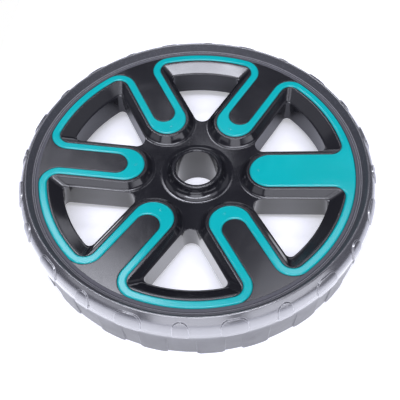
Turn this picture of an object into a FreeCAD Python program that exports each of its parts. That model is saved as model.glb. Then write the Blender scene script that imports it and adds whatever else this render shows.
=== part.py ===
import FreeCAD
import Part
import math
import os

vector = FreeCAD.Vector
up = vector(0, 0, 1)
origin = vector(0, 0, 0)

# Spoke pattern: the wheel lies on its back, the axle line is +Z, the fully coloured spoke points along +X
spoke_count = 6
filled_spoke = 0

# Wheel size, and what the tyre, the plain rim edge and the rim land take of its radius
tread_radius = 99.3
tyre_thickness = 9.3
rim_edge_width = 2.0
rim_land_width = 5.6

# Dished front face: a shallow cone, with its height given at the outer edge of the coloured inlay
face_height = 30.6
face_angle = 4.96

# Hub: a boss with a rounded foot in front, a plain tube behind, one bore through both
bore_radius = 12.0
bore_chamfer = 0.6
boss_rise = 6.4
boss_top_wall = 2.4
boss_foot_wall = 4.4
boss_edge_round = 0.9
boss_foot_round = 6.0
hub_tube_wall = 5.0

# Raised spokes and rim land, with flanks that slope down to the sunk web
web_depth = 4.3
spoke_end_centre = 41.3
spoke_land_half = 13.2
spoke_flank_run = 3.3
rim_flank_run = 6.3
flank_corner_round = 3.6
flank_foot_round = 2.4
land_edge_round = 0.6

# Windows below the web level, with moulding draft towards the back
window_ledge = 0.3
spoke_wall_draft = 0.45
rim_wall_draft = 2.2
window_apex_round = 5.2
window_corner_round = 3.0

# Open back: box sections round each window, with one rib under every spoke
body_depth = 20.7
skin_depth = 7.5
window_wall = 2.5
rib_thickness = 2.5
rim_wall = 3.5

# Coloured inlay: one closed band that winds round every window and every spoke end
inlay_rim_width = 4.4
inlay_margin = 1.85
inlay_spoke_width = 4.6
infill_setback = 5.1
inlay_outer_round = 10.5
inlay_inner_round = 6.2
inlay_depth = 1.6
inlay_proud = 0.35
inlay_edge_chamfer = 0.7
inlay_clearance = 0.05
gate_mark_radius = 0.55
gate_mark_proud = 0.2

# Tyre ring: a bead in the seat, a groove at the joint, a raised lip, a round shoulder and a drafted tread
seat_clearance = 0.05
seat_groove_depth = 1.2
seat_groove_bottom = 14.0
seat_groove_top = 22.0
seat_groove_slope = 1.0
face_edge_chamfer = 0.5
joint_gap = 1.4
joint_depth = 0.5
lip_foot_run = 2.0
lip_foot_rise = 1.2
lip_run = 4.0
lip_rise = 4.7
lip_round = 0.7
shoulder_drop = 11.8
shoulder_bulge = 1.3
tread_draft = 1.0
tread_bottom_chamfer = 0.8

# Tread pads: wide and narrow ones in turn above the parting line, a pair of low ones under each wide one
pad_pairs = 12
pad_height = 0.75
pad_root = 0.8
upper_pad_gap = 2.0
wide_pad_width = 13.6
wide_pad_round = 4.2
wide_pad_foot_round = 2.4
narrow_pad_width = 8.0
narrow_pad_round = 3.8
narrow_pad_foot_round = 0.8
lower_pad_offset = 6.6
lower_pad_width = 14.2
lower_pad_bottom = 0.0
lower_pad_round = 2.4
lower_pad_top_round = 0.8
lower_pad_height = 0.6
lower_pad_sink = 0.05

# Room by which a cutting solid runs past what it cuts, and how close two places count as one
overrun = 3.0
land_overrun = 5.0
hollow_margin = 0.9
hollow_headroom = 1.5
match = 0.01

slope = math.tan(math.radians(face_angle))
pitch = 360.0 / spoke_count
pad_pitch = 360.0 / pad_pairs
seat_radius = tread_radius - tyre_thickness
face_radius = seat_radius - rim_edge_width
rim_land_radius = face_radius - rim_land_width
tube_radius = bore_radius + hub_tube_wall
boss_foot = bore_radius + boss_foot_wall
boss_top = bore_radius + boss_top_wall
window_half = spoke_land_half + spoke_flank_run + window_ledge
window_reach = rim_land_radius - rim_flank_run - window_ledge
inlay_half = spoke_land_half - inlay_margin
infill_half = inlay_half - inlay_spoke_width
infill_end_centre = spoke_end_centre + infill_setback
lip_foot = vector(seat_radius + lip_foot_run, 0, face_height + lip_foot_rise)
lip = vector(seat_radius + lip_run, 0, face_height + lip_rise)
parting = vector(tread_radius, 0, lip.z - shoulder_drop)
tread_bottom_radius = tread_radius - tread_draft


def face_z(radius):
    return face_height - slope * (face_radius - radius)


def web_z(radius):
    return face_z(radius) - web_depth


def back_z(radius):
    return face_z(radius) - body_depth


def turned(shape, angle):
    copy = shape.copy()
    copy.rotate(origin, up, angle)
    return copy


def polar(radius, angle):
    return vector(radius * math.cos(angle), radius * math.sin(angle), 0)


def mirrored(point):
    return vector(point.x, -point.y, point.z)


def line(start, end):
    return Part.LineSegment(start, end).toShape()


def arc(start, middle, end):
    return Part.Arc(start, middle, end).toShape()


# Closed outline through corner points in one plane, each corner rounded by its own radius
def rounded(spots, rounds):
    edges = []
    entries = []
    exits = []
    for index, spot in enumerate(spots):
        before = (spots[index - 1] - spot).normalize()
        after = (spots[(index + 1) % len(spots)] - spot).normalize()
        half = 0.5 * before.getAngle(after)
        reach = rounds[index] / math.tan(half)
        entries.append(spot + before * reach)
        exits.append(spot + after * reach)
        if rounds[index]:
            inward = (before + after).normalize()
            middle = spot + inward * (rounds[index] / math.sin(half) - rounds[index])
            edges.append(arc(entries[index], middle, exits[index]))
    edges += [line(exits[index - 1], entries[index]) for index in range(len(spots))]
    return Part.Wire(Part.__sortEdges__(edges))


# Solid of revolution from (radius, height) corners; a third value rounds the corner
def lathe(points):
    spots = [vector(point[0], 0, point[1]) for point in points]
    rounds = [point[2] if len(point) > 2 else 0 for point in points]
    return Part.Face(rounded(spots, rounds)).revolve(origin, up, 360)


def between(outer, inner):
    return Part.Face(outer).cut(Part.Face(inner)).Faces[0]


def prism(face, bottom, top):
    solid = face.extrude(vector(0, 0, top - bottom))
    solid.translate(vector(0, 0, bottom))
    return solid


# Edges between two faces of a shape that run on the cone of the given height over the radius
def edges_on(shape, height_at, inner_radius, outer_radius):
    chosen = []
    for edge in shape.Edges:
        span = edge.LastParameter - edge.FirstParameter
        points = [edge.valueAt(edge.FirstParameter + share * span) for share in (0.25, 0.5, 0.75)]
        radii = [math.hypot(point.x, point.y) for point in points]
        near = all(abs(point.z - height_at(radius)) < match for point, radius in zip(points, radii))
        if near and inner_radius < min(radii) and max(radii) < outer_radius:
            if len(shape.ancestorsOfType(edge, Part.Face)) == 2:
                chosen.append(edge)
    return chosen


# Round between the +Y side of a spoke along +X and the rim arc: tangent points, middle and polar angle
def corner_points(rim_radius, half_width, corner_round):
    reach = rim_radius - corner_round
    offset = half_width + corner_round
    run = math.sqrt(reach ** 2 - offset ** 2)
    centre = vector(run, offset, 0)
    turn = math.atan2(offset, run)
    on_side = vector(run, half_width, 0)
    on_rim = polar(rim_radius, turn)
    middle_turn = 0.5 * (turn - 0.5 * math.pi)
    middle = centre + polar(corner_round, middle_turn)
    return on_side, middle, on_rim, turn


# Outline from rim arc to rim arc round the inner end of a spoke along +X
def spoke_edges(rim_radius, half_width, end_centre, corner_round):
    on_side, middle, on_rim, turn = corner_points(rim_radius, half_width, corner_round)
    end = vector(end_centre, half_width, 0)
    tip = vector(end_centre - half_width, 0, 0)
    return [
        arc(mirrored(on_rim), mirrored(middle), mirrored(on_side)),
        line(mirrored(on_side), mirrored(end)),
        arc(mirrored(end), tip, end),
        line(end, on_side),
        arc(on_side, middle, on_rim),
    ], turn


# Closed outline that follows the rim and turns in round the spokes
def meander(rim_radius, half_width, end_centre, corner_round, skipped=()):
    edges = []
    spokes = [index for index in range(spoke_count) if index not in skipped]
    for place, index in enumerate(spokes):
        bend, turn = spoke_edges(rim_radius, half_width, end_centre, corner_round)
        edges += [turned(edge, index * pitch) for edge in bend]
        following = spokes[(place + 1) % len(spokes)]
        steps = (following - index) % spoke_count or spoke_count
        start = math.radians(index * pitch) + turn
        finish = math.radians((index + steps) * pitch) - turn
        stops = [polar(rim_radius, angle) for angle in (start, 0.5 * (start + finish), finish)]
        edges.append(arc(*stops))
    return Part.Wire(Part.__sortEdges__(edges))


# Rounded sector between two spokes, centred on +X
def window_wire(half_width, rim_radius, apex_round, corner_round, height):
    half = math.radians(0.5 * pitch)
    on_side, middle, on_rim, turn = corner_points(rim_radius, half_width, corner_round)
    apex = (half_width + apex_round) / math.sin(half)
    near_side = vector((half_width + apex_round) / math.tan(half), half_width, 0)
    swing = FreeCAD.Rotation(up, -0.5 * pitch)
    lower = [swing.multVec(point) for point in (near_side, on_side, middle, on_rim)]
    upper = [mirrored(point) for point in lower]
    edges = [
        line(lower[0], lower[1]),
        arc(lower[1], lower[2], lower[3]),
        arc(lower[3], vector(rim_radius, 0, 0), upper[3]),
        arc(upper[3], upper[2], upper[1]),
        line(upper[1], upper[0]),
        arc(upper[0], vector(apex - apex_round, 0, 0), lower[0]),
    ]
    wire = Part.Wire(edges)
    wire.translate(vector(0, 0, height))
    return wire


# Raised spoke along +X in the tilt of the face: a round end and straight flanks that widen downwards
def land_spoke():
    tilt = math.radians(face_angle)
    depth = web_depth * math.cos(tilt)
    low = -depth - land_overrun
    low_half = spoke_land_half - low / depth * spoke_flank_run
    high_half = spoke_land_half - land_overrun / depth * spoke_flank_run
    centre = (spoke_end_centre - face_radius) / math.cos(tilt)
    outer = seat_radius + overrun - face_radius
    end = Part.makeCone(low_half, high_half, land_overrun - low, vector(centre, 0, low))
    section = Part.makePolygon([
        vector(centre, -low_half, low),
        vector(centre, low_half, low),
        vector(centre, high_half, land_overrun),
        vector(centre, -high_half, land_overrun),
        vector(centre, -low_half, low),
    ])
    spoke = Part.Face(section).extrude(vector(outer - centre, 0, 0)).fuse(end)
    spoke.rotate(origin, vector(0, 1, 0), -face_angle)
    spoke.translate(vector(face_radius, 0, face_height))
    return spoke


# Rim land with the sloping flank that faces the windows
def land_rim():
    drop = web_depth + slope * rim_flank_run
    low = land_overrun / drop
    top = (rim_land_radius + low * rim_flank_run, face_z(rim_land_radius) + low * drop)
    bottom = (rim_land_radius - (1 + low) * rim_flank_run, face_z(rim_land_radius) - (1 + low) * drop)
    outer = seat_radius + 2 * land_overrun
    return lathe([top, bottom, (outer, bottom[1]), (outer, top[1])])


def is_flank_corner(edge):
    middle = edge.valueAt(0.5 * (edge.FirstParameter + edge.LastParameter))
    radius = math.hypot(middle.x, middle.y)
    return edge.BoundBox.ZLength > web_depth and rim_land_radius - rim_flank_run < radius < face_radius


# Everything above the sunk web that is neither boss, rim land nor raised spoke, with a round at its foot
def front_hollow():
    lands = land_rim()
    spoke = land_spoke()
    lands = lands.fuse([turned(spoke, index * pitch) for index in range(spoke_count)])
    lands = lands.removeSplitter()
    corners = [edge for edge in lands.Edges if is_flank_corner(edge)]
    lands = lands.makeFillet(flank_corner_round, corners)
    reach = rim_land_radius + hollow_margin
    ceiling = face_height + hollow_headroom
    boss_height = web_z(boss_foot) + boss_rise
    layer = lathe([
        (0, boss_height),
        (boss_top, boss_height, boss_edge_round),
        (boss_foot, web_z(boss_foot), boss_foot_round),
        (reach, web_z(reach)),
        (reach, ceiling),
        (0, ceiling),
    ])
    hollow = layer.cut(lands)
    feet = edges_on(hollow, web_z, boss_foot + boss_foot_round, rim_land_radius)
    return hollow.makeFillet(flank_foot_round, feet)


def window_solids():
    top = web_z(window_reach)
    bottom = back_z(window_reach)
    wires = []
    for height in (-overrun, face_height + overrun):
        share = (top - height) / (top - bottom)
        half = window_half - share * spoke_wall_draft
        reach = window_reach + share * rim_wall_draft
        wires.append(window_wire(half, reach, window_apex_round, window_corner_round, height))
    window = Part.makeLoft(wires, True, True)
    return [turned(window, (index + 0.5) * pitch) for index in range(spoke_count)]


# Hollow round each window, open to the back, between the ribs, the hub tube and the rim wall
def back_channels():
    half = window_half - spoke_wall_draft - window_wall
    reach = window_reach + rim_wall_draft + window_wall
    outer = window_wire(0.5 * rib_thickness, seat_radius - rim_wall, window_wall, window_wall, 0)
    inner = window_wire(half, reach, window_apex_round + window_wall, window_corner_round + window_wall, 0)
    loop = prism(between(outer, inner), -overrun, face_height)
    below = lathe([
        (tube_radius, -overrun),
        (seat_radius, -overrun),
        (seat_radius, face_z(seat_radius) - skin_depth),
        (tube_radius, face_z(tube_radius) - skin_depth),
    ])
    channel = loop.common(below)
    return [turned(channel, (index + 0.5) * pitch) for index in range(spoke_count)]


def inlay_band(clearance, depth, proud):
    outer = meander(
        face_radius + clearance,
        infill_half - clearance,
        infill_end_centre,
        inlay_outer_round + clearance,
        (filled_spoke,),
    )
    inner = meander(
        face_radius - inlay_rim_width - clearance,
        inlay_half + clearance,
        spoke_end_centre,
        inlay_inner_round - clearance,
    )
    band = prism(between(outer, inner), 0, face_height + overrun)
    layer = lathe([
        (0, face_z(0) - depth),
        (seat_radius, face_z(seat_radius) - depth),
        (seat_radius, face_z(seat_radius) + proud),
        (0, face_z(0) + proud),
    ])
    return band.common(layer)


def bore():
    wide = bore_radius + bore_chamfer
    top = web_z(boss_foot) + boss_rise
    return lathe([
        (0, -overrun),
        (wide + overrun, -overrun),
        (bore_radius, bore_chamfer),
        (bore_radius, top - bore_chamfer),
        (wide + overrun, top + overrun),
        (0, top + overrun),
    ])


def wheel_body():
    plateau = web_z(boss_foot) + boss_rise + hollow_headroom
    blank = lathe([
        (0, 0),
        (tube_radius, 0),
        (tube_radius, back_z(tube_radius)),
        (seat_radius, back_z(seat_radius)),
        (seat_radius, seat_groove_bottom),
        (seat_radius - seat_groove_depth, seat_groove_bottom + seat_groove_slope),
        (seat_radius - seat_groove_depth, seat_groove_top - seat_groove_slope),
        (seat_radius, seat_groove_top),
        (seat_radius, face_z(seat_radius) - face_edge_chamfer),
        (seat_radius - face_edge_chamfer, face_z(seat_radius - face_edge_chamfer)),
        (tube_radius, face_z(tube_radius)),
        (tube_radius, plateau),
        (0, plateau),
    ])
    body = blank.cut(front_hollow())
    body = body.makeFillet(land_edge_round, edges_on(body, face_z, tube_radius, face_radius))
    body = body.cut(window_solids())
    body = body.cut(back_channels())
    body = body.cut(inlay_band(inlay_clearance, inlay_depth, overrun))
    return body.cut(bore())


def inlay():
    band = inlay_band(0, inlay_depth - inlay_clearance, inlay_proud)
    top_edges = edges_on(band, lambda radius: face_z(radius) + inlay_proud, 0, seat_radius)
    band = band.makeChamfer(inlay_edge_chamfer, top_edges)
    place = 0.5 * (spoke_end_centre - inlay_half + infill_end_centre - infill_half)
    root = vector(place, 0, face_z(place))
    mark = Part.makeCylinder(gate_mark_radius, inlay_proud + gate_mark_proud, root)
    return band.fuse([turned(mark, index * pitch) for index in range(spoke_count)])


# Round shoulder between the lip and the parting line: centre and radius of its arc
def shoulder():
    chord = lip - parting
    radius = chord.Length ** 2 / (8 * shoulder_bulge) + 0.5 * shoulder_bulge
    outwards = vector(chord.z, 0, -chord.x).normalize()
    return (lip + parting) * 0.5 - outwards * (radius - shoulder_bulge), radius


# Round on the lip: its start on the side slope, its middle and its end on the shoulder
def lip_arc():
    centre, radius = shoulder()
    along = (lip - lip_foot).normalize()
    inward = vector(along.z, 0, -along.x)
    start = lip_foot + inward * lip_round - centre
    behind = start.dot(along)
    run = math.sqrt(behind ** 2 - start.dot(start) + (radius - lip_round) ** 2) - behind
    ball = centre + start + along * run
    middle = ball + (lip - ball).normalize() * lip_round
    on_shoulder = centre + (ball - centre).normalize() * radius
    return ball - inward * lip_round, middle, on_shoulder


def tyre_ring():
    centre, radius = shoulder()
    lip_start, lip_middle, lip_end = lip_arc()
    middle = centre + ((lip_end + parting) * 0.5 - centre).normalize() * radius
    seat = seat_radius + seat_clearance
    joint = seat_radius + joint_gap
    joint_top = face_z(seat_radius)
    outline = [
        parting,
        vector(tread_bottom_radius, 0, tread_bottom_chamfer),
        vector(tread_bottom_radius - tread_bottom_chamfer, 0, 0),
        vector(seat, 0, 0),
        vector(seat, 0, seat_groove_bottom),
        vector(seat - seat_groove_depth, 0, seat_groove_bottom + seat_groove_slope),
        vector(seat - seat_groove_depth, 0, seat_groove_top - seat_groove_slope),
        vector(seat, 0, seat_groove_top),
        vector(seat, 0, joint_top - joint_depth),
        vector(joint, 0, joint_top - joint_depth),
        vector(joint, 0, joint_top),
        lip_foot,
        lip_start,
    ]
    edges = [line(start, end) for start, end in zip(outline, outline[1:])]
    edges.append(arc(lip_start, lip_middle, lip_end))
    edges.append(arc(lip_end, middle, parting))
    return Part.Face(Part.Wire(edges)).revolve(origin, up, 360)


# Skin over the shoulder, as thick as the pads with their roots
def pad_skin_above():
    centre, radius = shoulder()
    outer = Part.makeTorus(centre.x, radius + pad_height, up * centre.z)
    inner = Part.makeTorus(centre.x, radius - pad_root, up * centre.z)
    return outer.cut(inner)


# Skin over the lower tread, which comes out of it under the parting line and is thickest at the back
def pad_skin_below():
    return lathe([
        (parting.x - pad_root, parting.z),
        (parting.x - lower_pad_sink, parting.z),
        (tread_bottom_radius + lower_pad_height, 0),
        (tread_bottom_radius - pad_root, 0),
    ])


# Rounded outline seen from outside the tread, run through it along +X
def pad_cutter(width, bottom, top, bottom_round, top_round):
    half = 0.5 * width
    inside = lip_foot.x
    spots = [
        vector(inside, -half, bottom),
        vector(inside, half, bottom),
        vector(inside, half, top),
        vector(inside, -half, top),
    ]
    outline = rounded(spots, [bottom_round, bottom_round, top_round, top_round])
    return Part.Face(outline).extrude(vector(tread_radius + pad_height + overrun - inside, 0, 0))


def tread_pads():
    top = lip.z - upper_pad_gap
    wide = pad_cutter(wide_pad_width, parting.z, top, wide_pad_foot_round, wide_pad_round)
    narrow = pad_cutter(narrow_pad_width, parting.z, top, narrow_pad_foot_round, narrow_pad_round)
    low = pad_cutter(lower_pad_width, lower_pad_bottom, parting.z, lower_pad_round, lower_pad_top_round)
    skin = pad_skin_above()
    low_pad = pad_skin_below().common(low)
    group = [
        turned(skin.common(wide), 0.5 * pad_pitch),
        skin.common(narrow),
        turned(low_pad, 0.5 * pad_pitch - lower_pad_offset),
        turned(low_pad, 0.5 * pad_pitch + lower_pad_offset),
    ]
    return [turned(pad, index * pad_pitch) for index in range(pad_pairs) for pad in group]


def tyre():
    return tyre_ring().fuse(tread_pads())


def main():
    os.makedirs("parts", exist_ok=True)
    pieces = {
        "wheel_body": wheel_body,
        "inlay": inlay,
        "tyre": tyre,
    }
    for name, build in pieces.items():
        shape = build().removeSplitter()
        print(name, len(shape.Solids), shape.isValid(), round(shape.Volume), shape.optimalBoundingBox())
        shape.exportStep("parts/" + name + ".step")


if __name__ == "__main__":
    main()
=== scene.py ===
import math

import bpy
from mathutils import Matrix, Vector

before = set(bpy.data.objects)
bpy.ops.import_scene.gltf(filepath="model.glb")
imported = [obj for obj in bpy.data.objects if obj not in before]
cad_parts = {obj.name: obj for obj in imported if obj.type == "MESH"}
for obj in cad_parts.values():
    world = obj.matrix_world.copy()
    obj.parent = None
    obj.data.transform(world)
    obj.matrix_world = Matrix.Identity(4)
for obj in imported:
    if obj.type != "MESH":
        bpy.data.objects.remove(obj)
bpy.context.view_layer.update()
scene = bpy.context.scene
scene.view_settings.view_transform = "Standard"
print("frame loaded:", ", ".join(sorted(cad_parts)))


# Node helpers

def addNode(tree, kind, **settings):
    node = tree.nodes.new(kind)
    for name, value in settings.items():
        setattr(node, name, value)
    return node


# An underscore in a name stands for the space in the socket's name
def setInputs(node, **values):
    for name, value in values.items():
        node.inputs[name.replace("_", " ")].default_value = value
    return node


def mathNode(tree, operation, first, second=None, third=None):
    node = addNode(tree, "ShaderNodeMath", operation=operation)
    for index, value in enumerate((first, second, third)):
        if value is None:
            continue
        if isinstance(value, (int, float)):
            node.inputs[index].default_value = value
        else:
            tree.links.new(value, node.inputs[index])
    return node.outputs[0]


def rangeNode(tree, value, low, high, toLow=0.0, toHigh=1.0):
    node = addNode(tree, "ShaderNodeMapRange", interpolation_type="SMOOTHSTEP")
    tree.links.new(value, node.inputs["Value"])
    setInputs(node, From_Min=low, From_Max=high, To_Min=toLow, To_Max=toHigh)
    return node.outputs["Result"]


def mixColour(tree, factor, first, second):
    node = addNode(tree, "ShaderNodeMix", data_type="RGBA", clamp_factor=True)
    for name, value in (("Factor", factor), ("A", first), ("B", second)):
        socket = [s for s in node.inputs if s.name == name and s.enabled][0]
        if isinstance(value, bpy.types.NodeSocket):
            tree.links.new(value, socket)
        else:
            socket.default_value = (*value, 1.0)
    return [s for s in node.outputs if s.enabled][0]


def newGroup(name, inputs, outputs):
    group = bpy.data.node_groups.new(name, "ShaderNodeTree")
    for label, kind, default in inputs:
        socket = group.interface.new_socket(label, in_out="INPUT", socket_type=kind)
        socket.default_value = default
    for label, kind in outputs:
        group.interface.new_socket(label, in_out="OUTPUT", socket_type=kind)
    start = addNode(group, "NodeGroupInput")
    end = addNode(group, "NodeGroupOutput")
    return group, start.outputs, end.inputs


def placeGroup(tree, group, **values):
    node = addNode(tree, "ShaderNodeGroup", node_tree=group)
    return setInputs(node, **values)


# Effects that several finishes share

effectLook = {
    "fineGrain": {"Detail": 3.0, "Roughness": 0.6},
    "flowMarks": {"Detail": 4.0, "Roughness": 0.55, "Distortion": 0.6},
    "streaks": {"Detail": 6.0, "Roughness": 0.7},
    "streakStretch": (1.0, 0.16, 1.0),
    "streakTurn": (0.0, 0.0, 0.6),
    "scuffStart": 0.56,  # noise level at which a scuff begins
    "scuffFull": 0.74,
    "edgeSamples": 6,
    "edgeStart": 0.995,  # cosine between the plain and the rounded normal
    "edgeFull": 0.86,
}


def makeMouldGrain(look):
    group, given, result = newGroup(
        "mouldGrain",
        [("Fine Scale", "NodeSocketFloat", 2600.0), ("Flow Scale", "NodeSocketFloat", 60.0)],
        [("Grain", "NodeSocketFloat"), ("Flow", "NodeSocketFloat")],
    )
    place = addNode(group, "ShaderNodeTexCoord").outputs["Object"]
    fine = setInputs(addNode(group, "ShaderNodeTexNoise"), **look["fineGrain"])
    flow = setInputs(addNode(group, "ShaderNodeTexNoise"), **look["flowMarks"])
    for node, scale in ((fine, "Fine Scale"), (flow, "Flow Scale")):
        group.links.new(place, node.inputs["Vector"])
        group.links.new(given[scale], node.inputs["Scale"])
    group.links.new(fine.outputs["Fac"], result["Grain"])
    group.links.new(flow.outputs["Fac"], result["Flow"])
    return group


def makeSpecks(look):
    group, given, result = newGroup(
        "specksAndScuffs",
        [
            ("Speck Scale", "NodeSocketFloat", 160.0),
            ("Speck Size", "NodeSocketFloat", 0.05),
            ("Speck Share", "NodeSocketFloat", 0.06),
            ("Scuff Scale", "NodeSocketFloat", 90.0),
        ],
        [("Speck", "NodeSocketFloat"), ("Scuff", "NodeSocketFloat")],
    )
    place = addNode(group, "ShaderNodeTexCoord").outputs["Object"]
    cells = addNode(group, "ShaderNodeTexVoronoi", feature="F1")
    group.links.new(place, cells.inputs["Vector"])
    group.links.new(given["Speck Scale"], cells.inputs["Scale"])
    split = addNode(group, "ShaderNodeSeparateColor")
    group.links.new(cells.outputs["Color"], split.inputs["Color"])
    chosen = mathNode(group, "LESS_THAN", split.outputs["Red"], given["Speck Share"])
    size = mathNode(group, "MULTIPLY", given["Speck Size"], split.outputs["Green"])
    near = mathNode(group, "LESS_THAN", cells.outputs["Distance"], size)
    group.links.new(mathNode(group, "MULTIPLY", chosen, near), result["Speck"])
    stretch = addNode(group, "ShaderNodeMapping")
    setInputs(stretch, Scale=look["streakStretch"], Rotation=look["streakTurn"])
    streaks = setInputs(addNode(group, "ShaderNodeTexNoise"), **look["streaks"])
    group.links.new(place, stretch.inputs["Vector"])
    group.links.new(stretch.outputs["Vector"], streaks.inputs["Vector"])
    group.links.new(given["Scuff Scale"], streaks.inputs["Scale"])
    scuff = rangeNode(group, streaks.outputs["Fac"], look["scuffStart"], look["scuffFull"])
    group.links.new(scuff, result["Scuff"])
    return group


def makeRoundedEdge(look):
    group, given, result = newGroup(
        "roundedEdge",
        [("Radius", "NodeSocketFloat", 0.0004)],
        [("Normal", "NodeSocketVector"), ("Edge", "NodeSocketFloat")],
    )
    bevel = addNode(group, "ShaderNodeBevel", samples=look["edgeSamples"])
    group.links.new(given["Radius"], bevel.inputs["Radius"])
    plain = addNode(group, "ShaderNodeNewGeometry")
    dot = addNode(group, "ShaderNodeVectorMath", operation="DOT_PRODUCT")
    group.links.new(bevel.outputs["Normal"], dot.inputs[0])
    group.links.new(plain.outputs["Normal"], dot.inputs[1])
    group.links.new(bevel.outputs["Normal"], result["Normal"])
    turned = rangeNode(group, dot.outputs["Value"], look["edgeStart"], look["edgeFull"])
    group.links.new(turned, result["Edge"])
    return group


# Distance from the axle line and height over the ground
def makeAxlePlace():
    outputs = [("Radius", "NodeSocketFloat"), ("Height", "NodeSocketFloat")]
    group, _, result = newGroup("axlePlace", [], outputs)
    place = addNode(group, "ShaderNodeTexCoord").outputs["Object"]
    flat = addNode(group, "ShaderNodeVectorMath", operation="MULTIPLY")
    flat.inputs[1].default_value = (1.0, 1.0, 0.0)
    group.links.new(place, flat.inputs[0])
    span = addNode(group, "ShaderNodeVectorMath", operation="LENGTH")
    group.links.new(flat.outputs["Vector"], span.inputs[0])
    split = addNode(group, "ShaderNodeSeparateXYZ")
    group.links.new(place, split.inputs["Vector"])
    group.links.new(span.outputs["Value"], result["Radius"])
    group.links.new(split.outputs["Z"], result["Height"])
    return group


mouldGrain = makeMouldGrain(effectLook)
specksAndScuffs = makeSpecks(effectLook)
roundedEdge = makeRoundedEdge(effectLook)
axlePlace = makeAxlePlace()
print("shared effects built")


def newMaterial(name):
    material = bpy.data.materials.new(name)
    material.use_nodes = True
    tree = material.node_tree
    tree.nodes.clear()
    shader = addNode(tree, "ShaderNodeBsdfPrincipled")
    output = addNode(tree, "ShaderNodeOutputMaterial")
    tree.links.new(shader.outputs["BSDF"], output.inputs["Surface"])
    return material, tree, shader


def addBump(tree, shader, height, strength, distance, normal):
    bump = addNode(tree, "ShaderNodeBump")
    bump.inputs["Strength"].default_value = strength
    bump.inputs["Distance"].default_value = distance
    tree.links.new(height, bump.inputs["Height"])
    tree.links.new(normal, bump.inputs["Normal"])
    tree.links.new(bump.outputs["Normal"], shader.inputs["Normal"])


# One past a place, zero before it
def pastMask(tree, value, place, blend):
    return rangeNode(tree, value, place - blend, place + blend)


# From one value to another as a mask goes from zero to one
def rampTo(tree, mask, low, high):
    return mathNode(tree, "MULTIPLY_ADD", mask, high - low, low)


def placeGrain(tree, look):
    scales = {"Fine_Scale": look["grainScale"], "Flow_Scale": look["flowScale"]}
    return placeGroup(tree, mouldGrain, **scales).outputs


def dress(nodeName, material):
    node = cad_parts[nodeName]
    for slot in node.material_slots:
        slot.material = material
    print("finish on", nodeName + ":", material.name)


# Dark moulded body

bodyLook = {
    "colour": (0.010, 0.010, 0.0135),
    "flowColour": (0.013, 0.013, 0.017),
    # edge colour: a painted highlight, lighter on the rounded edges
    "edgeHighlightColour": (0.05, 0.05, 0.06),
    "dustColour": (0.5, 0.5, 0.52),
    "ringColour": (0.065, 0.065, 0.08),
    "ringRadius": 0.0881,  # the grained ring starts just outside the inlay
    "ringBlend": 0.0001,
    "ringRoughness": 0.6,
    "ringGrainDepth": 0.00012,
    "faceGrain": 0.03,  # share of the ring's grain on the smooth faces
    "grainScale": 1500.0,
    "grainStrength": 0.5,
    "flowScale": 45.0,
    "specks": {"Speck_Scale": 150.0, "Speck_Size": 0.07, "Speck_Share": 0.02},
    "speckCover": 0.8,
    # share of the painted edge highlight
    "edgeHighlightShare": 0.5,
    "specular": 0.7,
    "roughness": 0.1,
    "landRoughness": 0.16,
    "landSlope": 0.0868,  # the raised faces lie on a shallow cone
    "landStart": 0.02246,
    "landBlend": 0.0002,
    "landInside": 0.02,  # the boss stays out
    "landInsideBlend": 0.0005,
    "flowRoughness": 0.05,
    "flowColourSpan": (0.4, 0.65),
    "flowSpan": (0.3, 0.7),
    "scuffRoughness": 0.08,
    "edgeRadius": 0.0006,
}


def makeBodyPlastic(look):
    material, tree, shader = newMaterial("bodyPlastic")
    shader.inputs["Specular IOR Level"].default_value = look["specular"]
    spot = placeGroup(tree, axlePlace).outputs
    radius, height = spot["Radius"], spot["Height"]
    ring = pastMask(tree, radius, look["ringRadius"], look["ringBlend"])
    overFace = mathNode(tree, "MULTIPLY_ADD", radius, -look["landSlope"], height)
    land = mathNode(
        tree, "MULTIPLY",
        pastMask(tree, overFace, look["landStart"], look["landBlend"]),
        pastMask(tree, radius, look["landInside"], look["landInsideBlend"]),
    )
    grain = placeGrain(tree, look)
    marks = placeGroup(tree, specksAndScuffs, **look["specks"]).outputs
    edge = placeGroup(tree, roundedEdge, Radius=look["edgeRadius"]).outputs
    flow = rangeNode(tree, grain["Flow"], *look["flowColourSpan"])
    colour = mixColour(tree, flow, look["colour"], look["flowColour"])
    # Rounded edges get a lighter colour: a painted highlight along the edges
    paintedEdgeLight = mathNode(tree, "MULTIPLY", edge["Edge"], look["edgeHighlightShare"])
    colour = mixColour(tree, paintedEdgeLight, colour, look["edgeHighlightColour"])
    colour = mixColour(tree, ring, colour, look["ringColour"])
    specks = mathNode(tree, "MULTIPLY", marks["Speck"], look["speckCover"])
    colour = mixColour(tree, specks, colour, look["dustColour"])
    tree.links.new(colour, shader.inputs["Base Color"])
    low = look["roughness"]
    rough = rangeNode(tree, grain["Flow"], *look["flowSpan"], low, low + look["flowRoughness"])
    rough = mathNode(tree, "MULTIPLY_ADD", marks["Scuff"], look["scuffRoughness"], rough)
    rough = mathNode(tree, "MULTIPLY_ADD", land, look["landRoughness"] - low, rough)
    ringStep = look["ringRoughness"] - look["landRoughness"]
    rough = mathNode(tree, "MULTIPLY_ADD", ring, ringStep, rough)
    tree.links.new(rough, shader.inputs["Roughness"])
    share = rampTo(tree, ring, look["faceGrain"], 1.0)
    relief = mathNode(tree, "MULTIPLY", grain["Grain"], share)
    addBump(tree, shader, relief, look["grainStrength"], look["ringGrainDepth"], edge["Normal"])
    return material


dress("wheel_body", makeBodyPlastic(bodyLook))


# Coloured inlay

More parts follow.
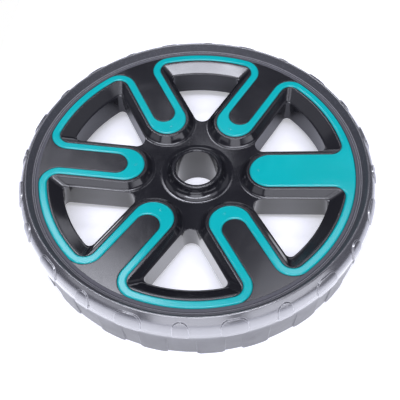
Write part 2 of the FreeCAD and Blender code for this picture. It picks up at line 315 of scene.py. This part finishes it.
inlayLook = {
    "colour": (0.001, 0.40, 0.42),
    "flowColour": (0.001, 0.42, 0.44),
    # edge colour: a painted highlight along the inlay's rounded edges
    "edgeHighlightColour": (0.08, 0.55, 0.58),
    "roughness": 0.1,
    "flowRoughness": 0.04,
    "flowColourSpan": (0.35, 0.65),
    "flowSpan": (0.3, 0.7),
    "grainScale": 2000.0,
    "flowScale": 38.0,
    "scuffScale": 120.0,
    "scuffRoughness": 0.05,
    "edgeRadius": 0.0009,
    "edgeHighlightShare": 0.3,
    "waveDepth": 0.00004,
    "waveStrength": 0.3,
}


def makeInlayPlastic(look):
    material, tree, shader = newMaterial("inlayPlastic")
    grain = placeGrain(tree, look)
    marks = placeGroup(tree, specksAndScuffs, Scuff_Scale=look["scuffScale"]).outputs
    edge = placeGroup(tree, roundedEdge, Radius=look["edgeRadius"]).outputs
    flow = rangeNode(tree, grain["Flow"], *look["flowColourSpan"])
    colour = mixColour(tree, flow, look["colour"], look["flowColour"])
    # Rounded edges get a lighter colour: a painted highlight
    paintedEdgeLight = mathNode(tree, "MULTIPLY", edge["Edge"], look["edgeHighlightShare"])
    colour = mixColour(tree, paintedEdgeLight, colour, look["edgeHighlightColour"])
    tree.links.new(colour, shader.inputs["Base Color"])
    low = look["roughness"]
    rough = rangeNode(tree, grain["Flow"], *look["flowSpan"], low, low + look["flowRoughness"])
    rough = mathNode(tree, "MULTIPLY_ADD", marks["Scuff"], look["scuffRoughness"], rough)
    tree.links.new(rough, shader.inputs["Roughness"])
    addBump(tree, shader, grain["Flow"], look["waveStrength"], look["waveDepth"], edge["Normal"])
    return material


dress("inlay", makeInlayPlastic(inlayLook))


# Tyre ring: fine-grained side slope inside the lip, smooth satin shoulder and tread

tyreLook = {
    "lipColour": (0.07, 0.07, 0.08),
    "shoulderSheenColour": (0.17, 0.173, 0.182),
    # lower shoulder colour: a painted reflection of the white floor, lighter than the lip colour
    # above
    "treadColour": (0.055, 0.056, 0.061),
    "treadDust": (0.085, 0.086, 0.092),
    "sheenTop": 0.032,  # heights between which the shoulder turns lighter downwards: a painted reflection of the white floor
    "sheenBottom": 0.028,
    "sideColour": (0.054, 0.054, 0.063),
    "dustColour": (0.22, 0.22, 0.25),
    # edge colour: a painted highlight outlining the pads and other rounded edges
    "edgeHighlightColour": (0.5, 0.5, 0.53),
    # shares of the painted edge highlight on shoulder and tread
    "shoulderEdgeHighlight": 0.8,
    "treadEdgeHighlight": 0.25,
    "dustCover": 0.35,
    "dustSpan": (0.52, 0.7),
    "grainScale": 1500.0,
    "grainStrength": 0.6,
    "treadGrain": 0.05,  # share of the side's grain on shoulder and tread
    "flowScale": 50.0,
    "flowColourSpan": (0.35, 0.65),
    "sheenFlowSpan": (0.25, 0.75),
    "sheenThin": 0.75,
    "lipRadius": 0.0937,
    "lipBlend": 0.0003,
    "partingHeight": 0.0225,  # shoulder above, tread below
    "partingBlend": 0.003,
    "shoulderRoughness": 0.22,
    "treadRoughness": 0.45,
    "sideRoughness": 0.5,
    "shoulderCoat": 0.95,
    "treadCoat": 0.12,
    "coatRefraction": 2.4,
    "coatRoughness": 0.2,
    "specular": 0.38,
    "scuffRoughness": 0.08,
    "edgeRadius": 0.0008,
    "sideGrainDepth": 0.00012,
}


def makeTyreCompound(look):
    material, tree, shader = newMaterial("tyreCompound")
    shader.inputs["Specular IOR Level"].default_value = look["specular"]
    shader.inputs["Coat IOR"].default_value = look["coatRefraction"]
    shader.inputs["Coat Roughness"].default_value = look["coatRoughness"]
    spot = placeGroup(tree, axlePlace).outputs
    radius, height = spot["Radius"], spot["Height"]
    outside = pastMask(tree, radius, look["lipRadius"], look["lipBlend"])
    side = mathNode(tree, "SUBTRACT", 1.0, outside)
    upper = pastMask(tree, height, look["partingHeight"], look["partingBlend"])
    shoulder = mathNode(tree, "MULTIPLY", outside, upper)
    coat = rampTo(tree, upper, look["treadCoat"], look["shoulderCoat"])
    tree.links.new(mathNode(tree, "MULTIPLY", outside, coat), shader.inputs["Coat Weight"])
    grain = placeGrain(tree, look)
    marks = placeGroup(tree, specksAndScuffs).outputs
    edge = placeGroup(tree, roundedEdge, Radius=look["edgeRadius"]).outputs
    # The lower shoulder turns lighter, patchy with flow marks: a painted reflection of the white
    # floor
    floorSheen = rangeNode(tree, height, look["sheenTop"], look["sheenBottom"])
    patchy = rangeNode(tree, grain["Flow"], *look["sheenFlowSpan"], look["sheenThin"], 1.0)
    floorSheen = mathNode(tree, "MULTIPLY", floorSheen, patchy)
    colour = mixColour(tree, floorSheen, look["lipColour"], look["shoulderSheenColour"])
    flow = rangeNode(tree, grain["Flow"], *look["flowColourSpan"])
    tread = mixColour(tree, flow, look["treadColour"], look["treadDust"])
    colour = mixColour(tree, upper, tread, colour)
    colour = mixColour(tree, side, colour, look["sideColour"])
    # Rounded edges get a lighter colour, strongest on the shoulder: a painted highlight
    edgeLightShare = rampTo(tree, upper, look["treadEdgeHighlight"], look["shoulderEdgeHighlight"])
    paintedEdgeLight = mathNode(tree, "MULTIPLY", edge["Edge"], edgeLightShare)
    colour = mixColour(tree, paintedEdgeLight, colour, look["edgeHighlightColour"])
    dust = rangeNode(tree, grain["Grain"], *look["dustSpan"], 0.0, look["dustCover"])
    dust = mathNode(tree, "MULTIPLY", dust, side)
    colour = mixColour(tree, dust, colour, look["dustColour"])
    tree.links.new(colour, shader.inputs["Base Color"])
    low = look["treadRoughness"]
    rough = rampTo(tree, side, low, look["sideRoughness"])
    rough = mathNode(tree, "MULTIPLY_ADD", shoulder, look["shoulderRoughness"] - low, rough)
    rough = mathNode(tree, "MULTIPLY_ADD", marks["Scuff"], look["scuffRoughness"], rough)
    tree.links.new(rough, shader.inputs["Roughness"])
    share = rampTo(tree, side, look["treadGrain"], 1.0)
    relief = mathNode(tree, "MULTIPLY", grain["Grain"], share)
    addBump(tree, shader, relief, look["grainStrength"], look["sideGrainDepth"], edge["Normal"])
    return material


dress("tyre", makeTyreCompound(tyreLook))


# White floor: its lift is for camera rays and reflections only, so it adds no light to the wheel

floorLook = {
    "corners": ((-0.155, -0.3), (0.15, 0.3)),
    "drop": 0.0001,
    "colour": (0.86, 0.865, 0.93),
    "tint": (0.95, 0.955, 1.0),
    "lift": 0.4,  # seen by the camera
    "mirrorLift": 1.0,  # seen in reflections, from here on the near side
    "mirrorBack": 0.25,  # to here on the far side
    "mirrorBackStart": 0.02,
    "mirrorBackEnd": 0.055,
    "poolCentre": (0.0, -0.1, 0.0),  # reflections show a bright pool in front
    "poolStart": 0.1,
    "poolEnd": 0.14,
    "poolOutside": 0.1,
}


def makeFloor(look):
    mesh = bpy.data.meshes.new("floor")
    (left, front), (right, back) = look["corners"]
    spots = ((left, front), (right, front), (right, back), (left, back))
    corners = [(x, y, -look["drop"]) for x, y in spots]
    mesh.from_pydata(corners, [], [(0, 1, 2, 3)])
    floor = bpy.data.objects.new("floor", mesh)
    scene.collection.objects.link(floor)
    material = bpy.data.materials.new("whiteFloor")
    material.use_nodes = True
    tree = material.node_tree
    tree.nodes.clear()
    output = addNode(tree, "ShaderNodeOutputMaterial")
    paper = addNode(tree, "ShaderNodeBsdfDiffuse")
    paper.inputs["Color"].default_value = (*look["colour"], 1.0)
    glow = addNode(tree, "ShaderNodeEmission")
    glow.inputs["Color"].default_value = (*look["tint"], 1.0)
    place = addNode(tree, "ShaderNodeTexCoord").outputs["Object"]
    split = addNode(tree, "ShaderNodeSeparateXYZ")
    tree.links.new(place, split.inputs["Vector"])
    span = (look["mirrorBackEnd"], look["mirrorBackStart"])
    levels = (look["mirrorBack"], look["mirrorLift"])
    lift = rangeNode(tree, split.outputs["Y"], *span, *levels)
    pool = addNode(tree, "ShaderNodeVectorMath", operation="DISTANCE")
    pool.inputs[1].default_value = look["poolCentre"]
    tree.links.new(place, pool.inputs[0])
    span = (look["poolEnd"], look["poolStart"])
    fade = rangeNode(tree, pool.outputs["Value"], *span, look["poolOutside"], 1.0)
    lift = mathNode(tree, "MULTIPLY", lift, fade)
    light = addNode(tree, "ShaderNodeLightPath").outputs
    seen = mathNode(tree, "MULTIPLY", light["Is Camera Ray"], look["lift"])
    mirrored = mathNode(tree, "MAXIMUM", light["Is Glossy Ray"], light["Is Transmission Ray"])
    seen = mathNode(tree, "MULTIPLY_ADD", mirrored, lift, seen)
    tree.links.new(seen, glow.inputs["Strength"])
    both = addNode(tree, "ShaderNodeAddShader")
    tree.links.new(paper.outputs["BSDF"], both.inputs[0])
    tree.links.new(glow.outputs["Emission"], both.inputs[1])
    tree.links.new(both.outputs["Shader"], output.inputs["Surface"])
    mesh.materials.append(material)


# White room behind, dim light from all round

worldLook = {
    "colour": (0.88, 0.89, 1.0),
    "strength": 0.1,
    "backdrop": (1.0, 1.0, 1.0),
}


def makeWorld(look):
    world = bpy.data.worlds.new("studio")
    world.use_nodes = True
    tree = world.node_tree
    tree.nodes.clear()
    output = addNode(tree, "ShaderNodeOutputWorld")
    room = addNode(tree, "ShaderNodeBackground")
    room.inputs["Color"].default_value = (*look["colour"], 1.0)
    room.inputs["Strength"].default_value = look["strength"]
    backdrop = addNode(tree, "ShaderNodeBackground")
    backdrop.inputs["Color"].default_value = (*look["backdrop"], 1.0)
    light = addNode(tree, "ShaderNodeLightPath").outputs
    mix = addNode(tree, "ShaderNodeMixShader")
    tree.links.new(light["Is Camera Ray"], mix.inputs[0])
    tree.links.new(room.outputs["Background"], mix.inputs[1])
    tree.links.new(backdrop.outputs["Background"], mix.inputs[2])
    tree.links.new(mix.outputs["Shader"], output.inputs["Surface"])
    scene.world = world


# A lamp's aim is its azimuth and elevation as seen from the wheel, its slide is along X
lamps = {
    "topBox": {"aim": (-90.0, 88.0), "size": (0.46, 0.4), "level": 1.8},
    "keyStrip": {"aim": (-90.0, 66.0), "slide": 0.06, "size": (0.88, 0.14), "level": 11.5},
    "leftBox": {"aim": (215.0, 60.0), "size": (0.46, 0.42), "level": 2.1},
    "frontBox": {"aim": (-90.0, 45.0), "size": (0.5, 0.46), "level": 2.8},
    "rightBox": {"aim": (-30.0, 60.0), "size": (0.46, 0.42), "level": 1.6},
    "frontFill": {"aim": (-90.0, 9.0), "size": (0.62, 0.56), "level": 2.2},
    "leftFill": {"aim": (225.0, 12.0), "size": (0.62, 0.36), "level": 0.9},
    "rightFill": {"aim": (-42.0, 5.0), "size": (0.76, 0.42), "level": 2.1},
    "leftSide": {"aim": (168.0, 46.0), "size": (0.4, 0.5), "level": 0.5},
    "rightSide": {"aim": (22.0, 40.0), "size": (0.5, 0.6), "level": 0.4},
    "backBox": {"aim": (90.0, 61.0), "slide": -0.23, "size": (0.24, 0.16), "level": 5.8},
    "backStrip": {"aim": (90.0, 66.0), "slide": -0.11, "size": (0.32, 0.1), "level": 12.0},
    "backRightBox": {"aim": (90.0, 58.5), "slide": 0.1, "size": (0.15, 0.11), "level": 3.4},
    "backFill": {"aim": (90.0, 16.0), "size": (0.7, 0.3), "level": 1.6},
}

lampLook = {
    "tint": (0.89, 0.9, 1.0),
    "centre": (0.0, 0.0, 0.02),
    "reach": 0.95,
}


def makeLamp(name, values, look):
    data = bpy.data.lights.new(name, "AREA")
    data.shape = "RECTANGLE"
    data.size, data.size_y = values["size"]
    data.energy = values["level"] * math.pi * data.size * data.size_y
    data.color = look["tint"]
    lamp = bpy.data.objects.new(name, data)
    lamp.visible_camera = False
    scene.collection.objects.link(lamp)
    around, up = (math.radians(angle) for angle in values["aim"])
    flat = Vector((math.cos(around), math.sin(around), 0.0))
    away = math.cos(up) * flat + Vector((0.0, 0.0, math.sin(up)))
    slide = Vector((values.get("slide", 0.0), 0.0, 0.0))
    lamp.location = Vector(look["centre"]) + look["reach"] * away + slide
    lamp.rotation_euler = away.to_track_quat("Z", "Y").to_euler()


# Camera at the photograph's viewpoint, its focal length in pixels of a picture pixelWidth wide

cameraLook = {
    "place": (0.02293, -0.19912, 0.28592),
    "turn": 6.243,
    "lookDown": 55.582,
    "roll": -2.341,
    "pixelFocal": 578.3,
    "pixelWidth": 400.0,
    "sensor": 36.0,
    "clipStart": 0.01,
}


def makeCamera(look):
    data = bpy.data.cameras.new("camera")
    data.sensor_width = look["sensor"]
    data.lens = look["pixelFocal"] / look["pixelWidth"] * look["sensor"]
    data.clip_start = look["clipStart"]
    camera = bpy.data.objects.new("camera", data)
    scene.collection.objects.link(camera)
    turn = Matrix.Rotation(math.radians(look["turn"]), 4, "Z")
    tilt = Matrix.Rotation(math.radians(90.0 - look["lookDown"]), 4, "X")
    roll = Matrix.Rotation(math.radians(look["roll"]), 4, "Z")
    camera.matrix_world = Matrix.Translation(look["place"]) @ turn @ tilt @ roll
    scene.camera = camera


makeFloor(floorLook)
makeWorld(worldLook)
for lampName, lampValues in lamps.items():
    makeLamp(lampName, lampValues, lampLook)
makeCamera(cameraLook)
print("stage, lamps and camera set")
